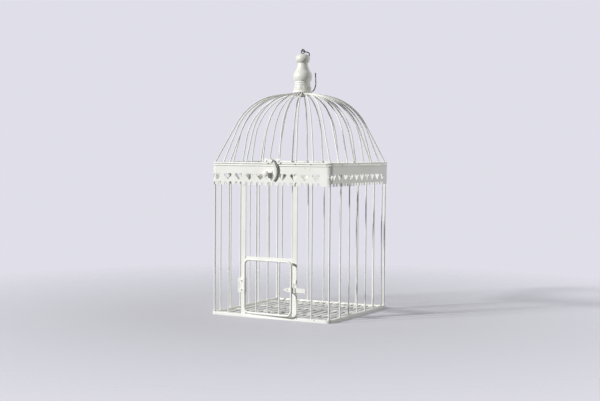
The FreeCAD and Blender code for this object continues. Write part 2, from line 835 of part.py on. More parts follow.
def build_dome():
    """Raise the dome: one wire of each reach, turned to its place and mirrored round."""
    diagonal = FreeCAD.Vector(1, -1, 0)
    for step, label in enumerate(("inner", "middle", "outer")):
        offset = "dome_pitch * %s" % (step + 0.5)
        wire = dome_wire("dome_leg_" + label, "sqrt(foot_line ^ 2 + (%s) ^ 2)" % offset)
        turned = group("dome_turned_" + label, [wire])
        turned.Placement = FreeCAD.Placement(FreeCAD.Vector(), FreeCAD.Rotation(AXIS_Z, 1))
        bind(turned, Placement__Rotation__Angle="atan(%s / foot_line)" % offset)
        pair = mirrored("dome_pair_" + label, turned, AXIS_Y)
        four = mirrored("dome_four_" + label, pair, AXIS_X)
        node(mirrored("dome_eight_" + label, four, diagonal), "dome_wires_" + label)
    wire = dome_wire("dome_leg_corner", "corner_reach")
    turned = group("dome_turned_corner", [wire])
    turned.Placement = FreeCAD.Placement(FreeCAD.Vector(), FreeCAD.Rotation(AXIS_Z, 45))
    pair = mirrored("dome_pair_corner", turned, AXIS_Y)
    node(mirrored("dome_four_corner", pair, AXIS_X), "dome_wires_corner")


def build_hub():
    """Build the hub that gathers the dome wires, its cap and the screw through both."""
    hole = "screw_radius + solder_gap"
    drill = cylinder("hub_drill", hole, "hub_height + 2 * end_gap", "0", "0", "hub_base - end_gap")
    hub = cylinder("hub_blank", "hub_radius", "hub_height", "0", "0", "hub_base")
    node(cut("hub_ring", hub, [drill]), "hub_ring")
    drill = cylinder("cap_drill", hole, "cap_thick + 2 * end_gap", "0", "0", "hub_top - end_gap")
    cap = cylinder("cap_blank", "cap_radius", "cap_thick", "0", "0", "hub_top")
    node(cut("hub_cap", cap, [drill]), "hub_cap")
    head = cylinder("screw_head", "2 * screw_radius", "screw_head_thick", "0", "0",
                    "hub_base - screw_head_thick")
    shank = cylinder("screw_shank", "screw_radius", "hub_height + cap_thick + screw_reach",
                     "0", "0", "hub_base")
    node(fuse("finial_screw", [head, shank]), "finial_screw")


def build_finial():
    """Turn the finial: flared foot, two beads, belly, neck and ball, drilled at both ends."""
    body = new_body("finial")
    side = draw(body, "finial_side", "XZ_Plane")

    def spot(radius, height, *arc):
        return ("finial_radius * %s" % radius, "cap_top + finial_height * %s" % height) + arc

    bore = "screw_radius + solder_gap"
    eye_bore = "eye_wire + solder_gap"
    outline(side, [
        (bore, "cap_top"),
        spot(0.91, 0, "finial_height * 0.4", 1),
        spot(0.84, 0.146),
        spot(0.745, 0.154, "finial_height * 0.0297", 1),
        spot(0.745, 0.2095, "finial_height * 0.0297", 1),
        spot(0.745, 0.265),
        spot(0.858, 0.277, "finial_height * 0.22", 1),
        spot(0.76, 0.54, "finial_height * 0.31", -1),
        spot(0.495, 0.71),
        spot(0.515, 0.763, "finial_height * 0.1314", 1),
        spot(0.373, 1.0),
        (eye_bore, "finial_top"),
        (eye_bore, "finial_top - eye_depth - end_gap"),
        ("0", "finial_top - eye_depth - end_gap"),
        ("0", "cap_top + screw_reach + end_gap"),
        (bore, "cap_top + screw_reach + end_gap"),
    ])
    turned = body.newObject("PartDesign::Revolution", "finial_turned")
    turned.Profile = side
    turned.ReferenceAxis = (side, ["V_Axis"])
    turned.Angle = 360
    node(body, "finial")

    ring = doc.addObject("Part::Torus", "eye_ring")
    ring.Placement = FreeCAD.Placement(FreeCAD.Vector(), TURN_X)
    put(bind(ring, Radius1="eye_radius", Radius2="eye_wire"), z="eye_height")
    stem = cylinder("eye_stem", "eye_wire", "eye_depth + eye_wire + 2 * solder_gap",
                    "0", "0", "finial_top - eye_depth")
    node(fuse("screw_eye", [ring, stem]), "screw_eye")


def build_hook():
    """Bend the hanging hook: an end round the screw eye, a waisted shank and an open throat."""
    path = doc.addObject("Sketcher::SketchObject", "hook_path")
    upright_side = FreeCAD.Rotation(FreeCAD.Vector(1, 1, 1), 120)
    path.Placement = FreeCAD.Placement(FreeCAD.Vector(), upright_side)
    above = "loop_height + hook_loop"
    below = "loop_height - hook_loop"
    corners = [
        ("hook_loop * 0.6", above),
        ("-hook_loop", above),
        ("-hook_loop", below),
        ("hook_reach", below + " - hook_sag"),
        ("hook_waist", below + " - hook_waist_drop"),
        ("hook_heel", "hook_low"),
        ("hook_heel + hook_throat", "hook_low"),
        ("hook_heel + hook_throat - hook_tip_lean", "hook_low + hook_tip_rise"),
    ]
    eye_bend = "hook_loop * 0.9"
    bends = ["0", eye_bend, eye_bend, "hook_bend", "waist_bend", "heel_bend", "throat_bend", "0"]
    rounded(path, corners, bends, False)
    doc.recompute()
    node(rod("hanging_hook", path, "hook_wire"), "hanging_hook")


def build_latch():
    """Build the lid latch: a riveted plate on the lid, a swinging claw and a knob on the band."""
    plate = new_body("latch_plate")
    bar = draw(plate, "latch_bar", "XZ_Plane", "latch_back")
    left = "latch_shift - latch_left"
    right = "latch_shift + latch_right"
    outline(bar, [
        (left, "latch_height - latch_lobe * 0.6"),
        (right, "latch_height - latch_lobe * 0.6"),
        (right, "latch_height + latch_lobe * 0.6"),
        (left, "latch_height + latch_lobe * 0.6"),
    ])
    pad(plate, bar, "latch_thick")
    lobes = draw(plate, "latch_lobes", "XZ_Plane", "latch_back")
    circle(lobes, left, "latch_height", "latch_lobe")
    circle(lobes, right, "latch_height", "latch_lobe")
    pad(plate, lobes, "latch_thick")
    drill = draw(plate, "latch_drill", "XZ_Plane", "latch_front")
    circle(drill, "latch_shift", "latch_height", "latch_pin + running_gap")
    pocket(plate, drill, "latch_thick")
    node(plate, "latch_plate")

    pin = cylinder("latch_pin_shank", "latch_pin", "latch_thick + claw_depth + 2 * moving_gap",
                   "latch_shift", "-latch_back", "latch_height", -AXIS_Y)
    head = cylinder("latch_pin_top", "2 * latch_pin", "latch_pin_head",
                    "latch_shift", "-(claw_front + moving_gap)", "latch_height", -AXIS_Y)
    node(fuse("latch_pivot", [pin, head]), "latch_pivot")

    claw = new_body("latch_claw")
    arm = draw(claw, "claw_arm", "XZ_Plane", "claw_back")
    outline(arm, [
        ("claw_low_x - claw_tip", "claw_low_z + claw_tip * 0.6"),
        ("claw_low_x", "claw_low_z", "claw_outer", 1),
        ("claw_top_x", "claw_top_z"),
        ("claw_top_x - claw_tip", "claw_top_z - claw_tip * 0.6", "claw_inner", -1),
    ])
    blank = pad(claw, arm, "claw_depth")
    face = number("solder_gap - claw_front")
    face_edges = [
        "Edge%d" % i for i, edge in enumerate(blank.Shape.Edges, start=1)
        if edge.BoundBox.YMax < face
    ]
    ease = claw.newObject("PartDesign::Fillet", "claw_eased")
    ease.Base = (blank, face_edges)
    bind(ease, Radius="claw_ease")
    doc.recompute()
    boss = draw(claw, "claw_boss", "XZ_Plane", "claw_back")
    circle(boss, "latch_shift", "latch_height", "claw_boss")
    pad(claw, boss, "claw_depth")
    drill = draw(claw, "claw_drill", "XZ_Plane", "claw_front")
    circle(drill, "latch_shift", "latch_height", "latch_pin + running_gap")
    pocket(claw, drill, "claw_depth")
    node(claw, "latch_claw")

    foot = box("knob_foot", "knob_x - knob_plate / 2", "-(band_outer + band_thick)",
               "knob_z - knob_plate_height * 0.6", "knob_plate", "band_thick", "knob_plate_height")
    stem = cylinder("knob_stem_bar", "knob_stem", "claw_front - band_outer + 2 * moving_gap",
                    "knob_x", "-band_outer", "knob_z", -AXIS_Y)
    head = cylinder("knob_top", "knob_head", "knob_head_thick",
                    "knob_x", "-(claw_front + moving_gap)", "knob_z", -AXIS_Y)
    node(fuse("latch_knob", [foot, stem, head]), "latch_knob")


def check_and_export():
    """Stop on any broken object, then write each sub-part to its own file."""
    doc.removeObject("sums")
    doc.recompute()
    for thing in doc.Objects:
        if "Invalid" in thing.State or "Error" in thing.State:
            raise RuntimeError("broken object " + thing.Label)
    os.makedirs("parts", exist_ok=True)
    for thing in nodes:
        shape = thing.Shape
        if shape.isNull() or not shape.isValid():
            raise RuntimeError("bad shape in " + thing.Label)
        solids = Part.makeCompound(shape.Solids) if len(shape.Solids) > 1 else shape.Solids[0]
        solids.exportStep("parts/%s.step" % thing.Label)


build_base()
build_floor()
build_walls()
for turn, face in enumerate(("front", "right", "back", "left")):
    build_band("heart_band_" + face, 90 * turn)
build_doorway()
build_door()
build_door_hinge()
build_bolt()
build_lid_hinges()
build_rim("lid_rim", "lid_rim_height")
build_dome()
build_hub()
build_finial()
build_hook()
build_latch()
check_and_export()
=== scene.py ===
import json
import logging
import math
from collections.abc import Iterator, Sequence
from dataclasses import dataclass
from enum import Enum
from typing import Any

import bmesh
import bpy
from mathutils import Matrix, Vector


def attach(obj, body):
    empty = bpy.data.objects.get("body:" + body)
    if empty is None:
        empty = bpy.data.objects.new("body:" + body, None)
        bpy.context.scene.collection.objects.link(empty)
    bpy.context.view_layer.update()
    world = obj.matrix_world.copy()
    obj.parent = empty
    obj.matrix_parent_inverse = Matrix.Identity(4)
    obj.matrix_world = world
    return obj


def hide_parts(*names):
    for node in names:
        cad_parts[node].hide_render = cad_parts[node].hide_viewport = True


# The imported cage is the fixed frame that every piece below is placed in. The pieces' sizes are
# in millimetres, and their meshes in metres.
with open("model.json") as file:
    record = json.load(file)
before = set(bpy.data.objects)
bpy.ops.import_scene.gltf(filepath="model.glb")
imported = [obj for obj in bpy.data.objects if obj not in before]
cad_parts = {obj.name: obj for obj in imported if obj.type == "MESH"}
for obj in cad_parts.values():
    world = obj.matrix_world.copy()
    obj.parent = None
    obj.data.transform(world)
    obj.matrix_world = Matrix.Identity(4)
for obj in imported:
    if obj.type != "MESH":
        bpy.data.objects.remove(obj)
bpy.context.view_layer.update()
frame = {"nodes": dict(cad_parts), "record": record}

LOG = logging.getLogger("card_cage")
MM = 0.001
Pair = tuple[float, float]
Spot = tuple[float, float, float]


class Body(Enum):
    """The moving bodies that pieces ride on."""

    CAGE = "cage"
    LID = "lid"
    LATCH = "lid_latch"
    HOOK = "hanging_hook"
    DOOR = "door"


class Slot(Enum):
    """The finishes that the record names."""

    IVORY = "ivory_paint"
    STEEL = "dark_steel"


def linear(code: str) -> tuple[float, float, float, float]:
    """Turn an sRGB hex colour into linear light.

    Args:
        code: Six hex digits, with or without a leading hash sign.

    Returns:
        Red, green, blue and an alpha of 1.
    """
    digits = code.lstrip("#")
    parts = [int(digits[i:i + 2], 16) / 255 for i in (0, 2, 4)]
    light = [c / 12.92 if c <= 0.04045 else ((c + 0.055) / 1.055) ** 2.4 for c in parts]
    return (light[0], light[1], light[2], 1.0)


def clamp(value: float) -> float:
    """Hold a value between 0 and 1."""
    return min(max(value, 0.0), 1.0)


def per_mm(size: float) -> float:
    """Give the noise scale whose features are about a size in millimetres across."""
    return 1.0 / (size * MM)


def add_node(tree: bpy.types.NodeTree, kind: str, links: dict[str, Any] | None = None,
             **settings: Any) -> bpy.types.Node:
    """Add one node with its settings, values and links.

    Args:
        tree: The node tree that gets the node.
        kind: Blender's name for the kind of node.
        links: For each input, a socket to link from or a plain value.
        settings: Properties of the node itself.

    Returns:
        The new node.
    """
    made = tree.nodes.new(kind)
    for name, value in settings.items():
        setattr(made, name, value)
    for name, value in (links or {}).items():
        socket = made.inputs[name]
        if isinstance(value, bpy.types.NodeSocket):
            tree.links.new(value, socket)
        else:
            socket.default_value = value
    return made


def ramp(tree: bpy.types.NodeTree, source: bpy.types.NodeSocket,
         stops: Sequence[tuple[float, str]]) -> bpy.types.NodeSocket:
    """Map a value through colour stops.

    Args:
        tree: The node tree.
        source: The value to map.
        stops: Places from 0 to 1, each with an sRGB hex colour.

    Returns:
        The mapped colour.
    """
    made = add_node(tree, "ShaderNodeValToRGB", {"Fac": source})
    points = made.color_ramp.elements
    while len(points) < len(stops):
        points.new(0.5)
    for point, (place, code) in zip(points, stops):
        point.position = place
        point.color = linear(code)
    return made.outputs["Color"]


def spread(tree: bpy.types.NodeTree, source: bpy.types.NodeSocket, low: float, high: float,
           start: float = 0.0, stop: float = 1.0) -> bpy.types.NodeSocket:
    """Stretch a value's range.

    Args:
        tree: The node tree.
        source: The value to stretch.
        low: What the range's start becomes.
        high: What the range's end becomes.
        start: The range's start.
        stop: The range's end.

    Returns:
        The stretched value.
    """
    made = add_node(tree, "ShaderNodeMapRange", {
        "Value": source, "From Min": start, "From Max": stop, "To Min": low, "To Max": high})
    return made.outputs["Result"]


def blend_in(tree: bpy.types.NodeTree, amount: bpy.types.NodeSocket, under: bpy.types.NodeSocket,
             over: str) -> bpy.types.NodeSocket:
    """Lay a colour over another where a value is high.

    Args:
        tree: The node tree.
        amount: How much of the upper colour shows.
        under: The lower colour.
        over: The upper colour, an sRGB hex value.

    Returns:
        The mixed colour.
    """
    made = add_node(tree, "ShaderNodeMix", {
        "Factor": amount, "A": under, "B": linear(over)}, data_type="RGBA")
    return made.outputs["Result"]


@dataclass(frozen=True)
class SprayedEnamel:
    """Ivory satin enamel, sprayed in one thick coat over steel wire and sheet.

    The eye sees a soft white with faint cloudy patches, a wide satin gleam, the slight orange
    peel of a thick spray coat, and on the wires a rare grey chip that shows the primer.
    """

    name: str = "sprayed_ivory_enamel"
    pale: str = "#F3F3EE"
    cloud: str = "#ECECE4"
    chip: str = "#9C978B"
    # Painted shade: the darker colour laid into the finial's carved hollows, where shadow falls.
    painted_hollow_shade: str = "#C9C5B6"
    roughness: float = 0.42
    duller: float = 0.06
    glossier: float = 0.05
    ior: float = 1.50
    cloud_mm: float = 26.0
    cloud_range: Pair = (0.34, 0.62)
    chip_mm: float = 2.4
    chip_range: Pair = (0.68, 0.71)
    chip_area_mm: float = 30.0
    chip_area_range: Pair = (0.58, 0.66)
    chip_cover: float = 0.7
    peel_mm: float = 1.1
    peel_depth_mm: float = 0.012
    peel_strength: float = 0.3
    shade_in_hollows: bool = False

    def build(self) -> bpy.types.Material:
        """Make the material."""
        material = bpy.data.materials.new(self.name)
        material.use_nodes = True
        tree = material.node_tree
        shader = tree.nodes["Principled BSDF"]
        place = add_node(tree, "ShaderNodeTexCoord").outputs["Object"]
        clouds = add_node(tree, "ShaderNodeTexNoise", {
            "Vector": place, "Scale": per_mm(self.cloud_mm), "Detail": 3.0})
        dim, clear = self.cloud_range
        colour = ramp(tree, clouds.outputs["Fac"], [(dim, self.cloud), (clear, self.pale)])
        # The finial's variant paints shade into its carved hollows, by the layer named hollow, in place of the
        # chips.
        if self.shade_in_hollows:
            hollow_shading = add_node(tree, "ShaderNodeAttribute", attribute_name="hollow")
            colour = blend_in(tree, hollow_shading.outputs["Fac"], colour, self.painted_hollow_shade)
        else:
            grit = add_node(tree, "ShaderNodeTexNoise", {
                "Vector": place, "Scale": per_mm(self.chip_mm), "Detail": 2.0})
            areas = add_node(tree, "ShaderNodeTexNoise", {
                "Vector": place, "Scale": per_mm(self.chip_area_mm), "Detail": 1.0})
            struck = add_node(tree, "ShaderNodeMath", {
                0: spread(tree, grit.outputs["Fac"], 0.0, 1.0, *self.chip_range),
                1: spread(tree, areas.outputs["Fac"], 0.0, self.chip_cover, *self.chip_area_range)},
                operation="MULTIPLY")
            colour = blend_in(tree, struck.outputs[0], colour, self.chip)
        tree.links.new(colour, shader.inputs["Base Color"])
        gloss = spread(tree, clouds.outputs["Fac"], self.roughness + self.duller,
                       self.roughness - self.glossier)
        tree.links.new(gloss, shader.inputs["Roughness"])
        peel = add_node(tree, "ShaderNodeTexNoise", {
            "Vector": place, "Scale": per_mm(self.peel_mm), "Detail": 2.0})
        bump = add_node(tree, "ShaderNodeBump", {
            "Height": peel.outputs["Fac"], "Strength": self.peel_strength,
            "Distance": self.peel_depth_mm * MM})
        tree.links.new(bump.outputs["Normal"], shader.inputs["Normal"])
        shader.inputs["IOR"].default_value = self.ior
        return material


@dataclass(frozen=True)
class DarkDrawnSteel:
    """Bare drawn steel wire gone dark with handling.

    The eye sees a near-black grey metal, a thin bright gleam along the bend, and duller
    brownish bands where the oxide is thicker.
    """

    name: str = "dark_drawn_steel"
    bright: str = "#6E6E70"
    oxide: str = "#3B3937"
    roughness: float = 0.36
    glossier: float = 0.08
    duller: float = 0.14
    band_mm: float = 5.0
    band_range: Pair = (0.35, 0.66)
    grain_mm: float = 0.5

    def build(self) -> bpy.types.Material:
        """Make the material."""
        material = bpy.data.materials.new(self.name)
        material.use_nodes = True
        tree = material.node_tree
        shader = tree.nodes["Principled BSDF"]
        place = add_node(tree, "ShaderNodeTexCoord").outputs["Object"]
        bands = add_node(tree, "ShaderNodeTexNoise", {
            "Vector": place, "Scale": per_mm(self.band_mm), "Detail": 4.0})
        dull, bare = self.band_range
        colour = ramp(tree, bands.outputs["Fac"], [(dull, self.oxide), (bare, self.bright)])
        tree.links.new(colour, shader.inputs["Base Color"])
        grain = add_node(tree, "ShaderNodeTexNoise", {
            "Vector": place, "Scale": per_mm(self.grain_mm), "Detail": 2.0})
        gloss = spread(tree, grain.outputs["Fac"], self.roughness - self.glossier,
                       self.roughness + self.duller)
        tree.links.new(gloss, shader.inputs["Roughness"])
        shader.inputs["Metallic"].default_value = 1.0
        return material


@dataclass
class Finishes:
    """The finishes of the cage, made once."""

    enamel: bpy.types.Material
    carved: bpy.types.Material
    steel: bpy.types.Material

    @classmethod
    def make(cls) -> "Finishes":
        """Make the materials."""
        return cls(
            SprayedEnamel().build(),
            # The finial's enamel, with painted shade in its carved panels and grooves.
            SprayedEnamel(name="ivory_enamel_with_painted_hollow_shade", pale="#EEEEE8", cloud="#E8E8DF",
                          shade_in_hollows=True).build(),
            DarkDrawnSteel().build(),
        )

    def dress_nodes(self) -> None:
        """Give every carried-over solid the finish that the record names for it."""
        slot_of = {row["node"]: row["material_slot"] for row in frame["record"]["subparts"]}
        for name, thing in frame["nodes"].items():
            steel = slot_of[name] == Slot.STEEL.value
            thing.data.materials.clear()
            thing.data.materials.append(self.steel if steel else self.enamel)


def make_piece(name: str, work: bmesh.types.BMesh, material: bpy.types.Material, body: Body) -> bpy.types.Object:
    """Turn a finished mesh into a piece that rides on a body.

    Args:
        name: The piece's name.
        work: The mesh, in metres at its place on the cage. It is used up.
        material: The piece's finish.
        body: The body that carries it.

    Returns:
        The new object.
    """
    bmesh.ops.recalc_face_normals(work, faces=work.faces)
    for face in work.faces:
        face.smooth = True
    data = bpy.data.meshes.new(name)
    work.to_mesh(data)
    work.free()
    data.materials.append(material)
    piece = bpy.data.objects.new(name, data)
    bpy.context.scene.collection.objects.link(piece)
    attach(piece, body.value)
    LOG.info("%s: %d faces on %s", name, len(data.polygons), body.value)
    return piece


def add_bead(work: bmesh.types.BMesh, spot: Spot, radii: Spot, around: int = 8, rows: int = 5) -> None:
    """Add one rounded blob, half of it sunk in what carries it.

    Args:
        work: The mesh that gets the blob.
        spot: Its middle, in millimetres.
        radii: Its half widths along X, Y and Z, in millimetres.
        around: How many faces it has round Z.
        rows: How many rows of faces it has.
    """
    place = Matrix.Translation(Vector(spot) * MM) @ Matrix.Diagonal((*(Vector(radii) * MM), 1.0))
    bmesh.ops.create_uvsphere(work, u_segments=around, v_segments=rows, radius=1.0, matrix=place)


def add_collar(work: bmesh.types.BMesh, foot: Spot, low: float, high: float, height: float) -> None:
    """Add one cone of solder round a wire's foot.

    Args:
        work: The mesh that gets the cone.
        foot: The middle of its underside, in millimetres.
        low: Its radius below, in millimetres.
        high: Its radius above, in millimetres.
        height: Its height, in millimetres.
    """
    place = Matrix.Translation(Vector((foot[0], foot[1], foot[2] + height / 2)) * MM)
    bmesh.ops.create_cone(work, cap_ends=True, segments=12, radius1=low * MM, radius2=high * MM,
                          depth=height * MM, matrix=place)


def add_post(work: bmesh.types.BMesh, spot: Pair, rear: float, face: float, low: float,
             high: float) -> None:
    """Add one round post that stands out towards -Y.

    Args:
        work: The mesh that gets the post.
        spot: Its X and Z, in millimetres.
        rear: The Y of its rear end, in millimetres.
        face: The Y of its front end, in millimetres.
        low: Its radius at the rear, in millimetres.
        high: Its radius at the front, in millimetres.
    """
    place = Matrix.Translation(Vector((spot[0], (rear + face) / 2, spot[1])) * MM)
    turned = place @ Matrix.Rotation(math.pi / 2, 4, "X")
    bmesh.ops.create_cone(work, cap_ends=True, segments=32, radius1=low * MM, radius2=high * MM,
                          depth=(rear - face) * MM, matrix=turned)


@dataclass
class WallSolder:
    """The solder that holds the upright wires to the base, the lintel and the rim."""

    wall_line: float = 88.0
    corner_line: float = 86.3
    pitch: float = 26.0
    per_side: int = 6
    right_shift: float = 7.3
    left_shift: float = -3.65
    back_shift: float = 3.0
    front_outer: Pair = (-63.25, 61.75)
    above_door: tuple[float, float, float] = (-20.85, -1.5, 17.85)
    base_top: float = 4.0
    lintel_top: float = 81.0
    wire_top: float = 200.2
    wire: float = 0.9
    foot_flare: float = 1.9
    foot_height: float = 1.5
    top_bead: Spot = (1.1, 1.1, 1.3)
    lintel_flare: float = 1.3
    lintel_height: float = 1.2
    corner_wire: float = 1.2
    corner_flare: float = 1.8
    corner_height: float = 1.8
    corner_bead: Spot = (1.5, 1.5, 1.4)

    def side_wires(self) -> Iterator[Pair]:
        """List where the full-height thin wires stand."""
        for i in range(self.per_side):
            step = self.pitch * (i - (self.per_side - 1) / 2)
            yield self.wall_line, step + self.right_shift
            yield -self.wall_line, step + self.left_shift
            yield step + self.back_shift, self.wall_line
        for x in self.front_outer:
            yield x, -self.wall_line

    def build(self, finishes: Finishes) -> None:
        """Set a cone at each foot and a blob at each top."""
        work = bmesh.new()
        for x, y in self.side_wires():
            add_collar(work, (x, y, self.base_top), self.wire * self.foot_flare, self.wire,
                       self.foot_height)
            add_bead(work, (x, y, self.wire_top), self.top_bead)
        for x in self.above_door:
            add_collar(work, (x, -self.wall_line, self.lintel_top), self.wire * self.lintel_flare,
                       self.wire, self.lintel_height)
            add_bead(work, (x, -self.wall_line, self.wire_top), self.top_bead)
        for x in (-self.corner_line, self.corner_line):
            for y in (-self.corner_line, self.corner_line):
                add_collar(work, (x, y, self.base_top), self.corner_wire * self.corner_flare,
                           self.corner_wire, self.corner_height)
                add_bead(work, (x, y, self.wire_top), self.corner_bead)
        make_piece("wall_solder", work, finishes.enamel, Body.CAGE)


@dataclass
class DomeSolder:
    """The solder that holds the dome's wires to the lid's rim, with dark dots at some feet and painted shade
    under the hub.
    """

    foot_line: float = 87.35
    bead_height: float = 205.3
    foot_bead: Spot = (1.5, 1.5, 1.2)
    wire: float = 0.9
    pitch: float = 25.1
    per_half_side: int = 3
    corner_foot: float = 84.97
    dot_height: float = 206.1
    dot_bead: Spot = (1.25, 1.25, 0.9)
    dot_back: tuple[float, ...] = (-85.0, -37.65, -12.55, 37.65)
    dot_front: tuple[float, ...] = (37.65, 60.5, 82.5)
    dot_right: tuple[float, ...] = (-58.0, -8.0)
    gap_line: float = 89.9
    gap_height: float = 203.4
    gap_along: float = 1.2
    gap_out: float = 0.35
    gap_up: float = 0.5
    hub_line: float = 12.5
    hub_height: float = 299.3
    hub_shade_rise: float = 1.0

    def feet(self) -> Iterator[Pair]:
        """List where the dome's wires stand on the rim."""
        for i in range(self.per_half_side):
            along = self.pitch * (i + 0.5)
            for x, y in ((self.foot_line, along), (along, self.foot_line)):
                yield from ((x, y), (-x, y), (x, -y), (-x, -y))
        corner = self.corner_foot
        yield from ((corner, corner), (-corner, corner), (corner, -corner), (-corner, -corner))

    def build(self, finishes: Finishes) -> None:
        """Set a blob at each foot, dark dots at some feet on and below the rim, and painted shade between the
        wires' ends under the hub.
        """
        work = bmesh.new()
        for x, y in self.feet():
            add_bead(work, (x, y, self.bead_height), self.foot_bead)
        make_piece("dome_solder", work, finishes.enamel, Body.LID)
        work = bmesh.new()
        # Dark dots at some wire feet, on top of the rim and in the gap between the lid's rim and the body's rim.
        for x in self.dot_back:
            add_bead(work, (x, self.foot_line, self.dot_height), self.dot_bead)
        for x in self.dot_front:
            add_bead(work, (x, -self.gap_line, self.gap_height), (self.gap_along, self.gap_out, self.gap_up))
        for y in self.dot_right:
            add_bead(work, (self.gap_line, y, self.gap_height), (self.gap_out, self.gap_along, self.gap_up))
        # Painted shade: dark blobs on the hub between the wires' ends, where the gaps under the cap lie in
        # shadow.
        turns = sorted(math.atan2(y, x) for x, y in self.feet())
        for here, there in zip(turns, turns[1:] + [turns[0] + math.tau]):
            middle = (here + there) / 2
            width = (there - here) * self.hub_line / 2 - self.wire
            add_bead(work, (self.hub_line * math.cos(middle), self.hub_line * math.sin(middle),
                            self.hub_height), (width, width, self.hub_shade_rise))
        make_piece("rim_dots_and_painted_hub_shade", work, finishes.steel, Body.LID)


@dataclass
class DoorSolder:
    """The solder that holds the wires in the door's frame, which stands a few degrees ajar."""

    axis_x: float = -36.5
    axis_y: float = -91.13
    angle: float = 4.0
    width: float = 73.0
    wire_shares: tuple[float, ...] = (0.25, 0.5, 0.75)
    low: float = 8.1
    high: float = 75.4
    bead: Spot = (1.3, 1.3, 1.0)

    def build(self, finishes: Finishes) -> None:
        """Set a blob at both ends of the door's wires."""
        work = bmesh.new()
        lean = math.radians(self.angle)
        for share in self.wire_shares:
            along = self.width * share
            x = self.axis_x + along * math.cos(lean)
            y = self.axis_y - along * math.sin(lean)
            for z in (self.low, self.high):
                add_bead(work, (x, y, z), self.bead)
        make_piece("door_solder", work, finishes.enamel, Body.DOOR)


@dataclass
class RoundHeads:
    """The domed heads of the rivets and the latch knob, all facing -Y and placed by X and Z."""

    strap_rivets: tuple[Pair, ...] = ((-40.6, 36.1), (-40.6, 48.3))
    strap_face: float = -90.45
    strap_radius: float = 1.88
    strap_rise: float = 0.6
    plate_rivets: tuple[Pair, ...] = ((-4.8, 207.6), (13.3, 207.6))
    plate_face: float = -91.3
    plate_radius: float = 1.7
    plate_rise: float = 0.9
    knob: Pair = (-2.9, 191.0)
    knob_face: float = -97.5
    knob_radius: float = 3.98
    knob_rise: float = 1.3

    def add(self, work: bmesh.types.BMesh, spot: Pair, face: float, radius: float, rise: float) -> None:
        """Add one dome on a face.

        Args:
            work: The mesh that gets the dome.
            spot: Its X and Z, in millimetres.
            face: The face's Y, in millimetres.
            radius: The dome's radius, in millimetres.
            rise: How far it stands out, in millimetres.
        """
        add_bead(work, (spot[0], face, spot[1]), (radius, rise, radius), around=24, rows=16)

    def build(self, finishes: Finishes) -> None:
        """Set the domes of each body."""
        work = bmesh.new()
        for spot in self.strap_rivets:
            self.add(work, spot, self.strap_face, self.strap_radius, self.strap_rise)
        self.add(work, self.knob, self.knob_face, self.knob_radius, self.knob_rise)
        make_piece("cage_round_heads", work, finishes.enamel, Body.CAGE)
        work = bmesh.new()
        for spot in self.plate_rivets:
            self.add(work, spot, self.plate_face, self.plate_radius, self.plate_rise)
        make_piece("lid_round_heads", work, finishes.enamel, Body.LID)


@dataclass
class DarkSpotsAndPaintedShadows:
    """Small dark spots on the cage's front: on the strap's rivets, at the lintel's left end, and painted shadows
    beside two wire feet on the base.
    """

    rivets: tuple[Spot, ...] = ((-41.0, -90.72, 36.0), (-41.0, -90.72, 48.2))
    rivet_spot: Spot = (1.1, 0.45, 1.1)
    base: tuple[Spot, ...] = ((41.6, -89.95, 3.0), (66.9, -89.95, 2.7))
    base_shadow_spot: Spot = (0.9, 0.2, 0.55)
    seam: Spot = (-36.6, -88.8, 79.4)
    seam_spot: Spot = (0.5, 0.2, 2.1)

    def build(self, finishes: Finishes) -> None:
        """Set the spots on the strap's rivets and at the lintel's end, and the painted shadows on the base."""
        work = bmesh.new()
        for spot in self.rivets:
            add_bead(work, spot, self.rivet_spot, around=16, rows=10)
        # Painted shadow: dark spots on the base to the right of two wire feet, where the feet cast shadows.
        for spot in self.base:
            add_bead(work, spot, self.base_shadow_spot)
        add_bead(work, self.seam, self.seam_spot)
        make_piece("cage_dots_and_painted_shadows", work, finishes.steel, Body.CAGE)


@dataclass
class BentWire:
    """A round wire in the YZ plane, drawn on from its open end."""

    work: bmesh.types.BMesh
    rim: list[bmesh.types.BMEdge]
    tip: Vector

    @classmethod
    def start(cls, tip: Vector, ahead: Vector, radius: float, sides: int = 16) -> "BentWire":
        """Start a wire.

        Args:
            tip: The middle of its first end, in metres.
            ahead: The way it goes from there.
            radius: Its radius, in metres.
            sides: How many faces go round it.

        Returns:
            The wire, which has no length yet.
        """
        work = bmesh.new()
        place = Matrix.Translation(tip) @ ahead.to_track_quat("Z", "X").to_matrix().to_4x4()
        bmesh.ops.create_circle(work, cap_ends=True, segments=sides, radius=radius, matrix=place)
        return cls(work, list(work.edges), tip)

    def line(self, tip: Vector) -> None:
        """Draw straight on to a point, in metres."""
        made = bmesh.ops.extrude_edge_only(self.work, edges=self.rim)["geom"]
        verts = [item for item in made if isinstance(item, bmesh.types.BMVert)]
        bmesh.ops.translate(self.work, verts=verts, vec=tip - self.tip)
        fresh = set(verts)
        self.rim = [item for item in made
                    if isinstance(item, bmesh.types.BMEdge) and fresh.issuperset(item.verts)]
        self.tip = tip

    def bend(self, corner: Vector, after: Vector, radius: float, steps: int = 12) -> None:
        """Draw on towards a corner and round it.

        Args:
            corner: The corner, in metres.
            after: The next corner, in metres.
            radius: The radius of the wire's middle in the bend, in metres.
            steps: How many edges make the bend.
        """
        back, ahead = (self.tip - corner).normalized(), (after - corner).normalized()
        half = back.angle(ahead) / 2
        self.line(corner + back * (radius / math.tan(half)))
        centre = corner + (back + ahead).normalized() * (radius / math.sin(half))
        made = bmesh.ops.spin(self.work, geom=self.rim, cent=centre, axis=ahead.cross(back),
                              angle=math.pi - 2 * half, steps=steps)["geom_last"]
        self.rim = [item for item in made if isinstance(item, bmesh.types.BMEdge)]
        self.tip = corner + ahead * (radius / math.tan(half))

    def close(self) -> None:
        """Close the open end."""
        bmesh.ops.edgeloop_fill(self.work, edges=self.rim)


